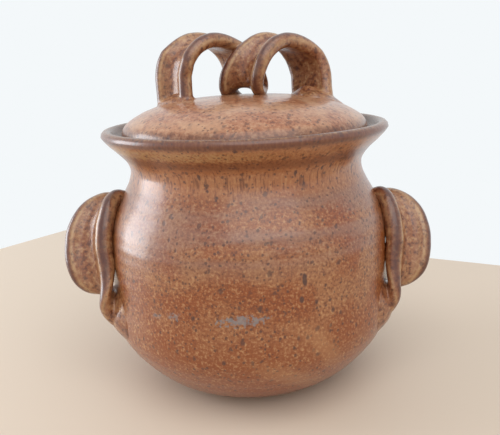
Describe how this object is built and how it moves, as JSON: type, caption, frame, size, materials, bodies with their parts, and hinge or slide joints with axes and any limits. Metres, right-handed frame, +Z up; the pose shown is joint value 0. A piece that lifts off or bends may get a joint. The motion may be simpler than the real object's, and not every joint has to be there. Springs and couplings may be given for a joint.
{
  "type": "lidded bean pot",
  "caption": "Round-bellied stoneware pot with a flared neck, two channelled side lugs and a loose domed lid with a coiled strap handle.",
  "frame": {"origin": "centre of the pot's flat foot, on the surface it stands on", "axes": "+Z up along the pot's axis; +X through the right-hand lug as a user facing the pot sees it; -Y towards the user"},
  "size_m": [0.2523, 0.2002, 0.2438],
  "materials": {
    "pot_glaze": "caramel brown iron-speckled stoneware glaze, satin gloss",
    "strap_glaze": "the same glaze, thinner and darker on the beads of the straps",
    "lid_glaze": "the same glaze, a little pinker and glossier on the dome"
  },
  "bodies": {
    "pot": {"pot_body": "pot_glaze", "lug_left_strap": "strap_glaze", "lug_left_top_wad": "strap_glaze", "lug_left_tail_pad": "strap_glaze", "lug_right_strap": "strap_glaze", "lug_right_top_wad": "strap_glaze", "lug_right_tail_pad": "strap_glaze"},
    "lid": {"lid_shell": "lid_glaze", "lid_coil_strap": "strap_glaze", "coil_left_pad": "strap_glaze", "coil_right_pad": "strap_glaze", "coil_middle_wad": "strap_glaze"}
  },
  "joints": [
    {"name": "lid_lift", "type": "slide", "parent": "pot", "child": "lid", "axis": [0, 0, 1], "range_m": [0, 0.08]}
  ]
}
